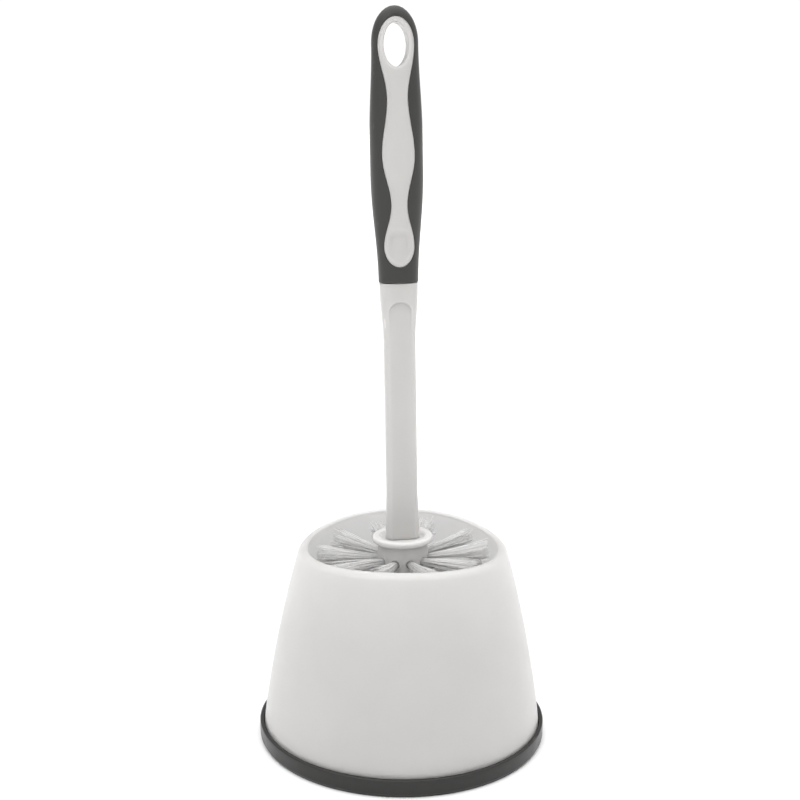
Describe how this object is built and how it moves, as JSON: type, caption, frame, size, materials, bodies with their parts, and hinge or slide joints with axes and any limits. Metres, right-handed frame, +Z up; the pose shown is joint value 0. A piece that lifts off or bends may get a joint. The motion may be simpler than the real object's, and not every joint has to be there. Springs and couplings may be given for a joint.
{
  "type": "toilet brush holder",
  "caption": "Toilet brush standing in a white bell-shaped holder on a dark drip tray, with a two-tone soft-grip handle and a hanging hole.",
  "frame": {"origin": "centre of the underside of the base tray, on the surface that it stands on", "axes": "+Z up along the holder, -Y to the front, where the handle's inlay faces, +X to the right"},
  "size_m": [0.144, 0.144, 0.3564],
  "materials": {
    "dark_plastic": "satin moulded plastic",
    "white_shell": "smooth semi-gloss white plastic",
    "white_core": "semi-gloss white plastic",
    "bristle": "translucent white nylon filament",
    "dark_grip": "matt soft-touch elastomer"
  },
  "bodies": {
    "base": {"base_tray": "dark_plastic"},
    "shell": {"holder_shell": "white_shell"},
    "brush": {"brush_head": "white_core", "bristle_row_1": "bristle", "bristle_row_2": "bristle", "bristle_row_3": "bristle", "bristle_row_4": "bristle", "bristle_row_5": "bristle", "bristle_row_6": "bristle", "bristle_row_7": "bristle", "bristle_crown": "bristle", "handle_core": "white_core", "handle_grip": "dark_grip"}
  },
  "joints": [
    {"name": "shell_lift", "type": "slide", "parent": "base", "child": "shell", "axis": [0, 0, 1], "range_m": [0, 0.05]},
    {"name": "brush_lift", "type": "slide", "parent": "base", "child": "brush", "axis": [-0.0227, 0, 0.9997], "range_m": [0, 0.18]}
  ]
}
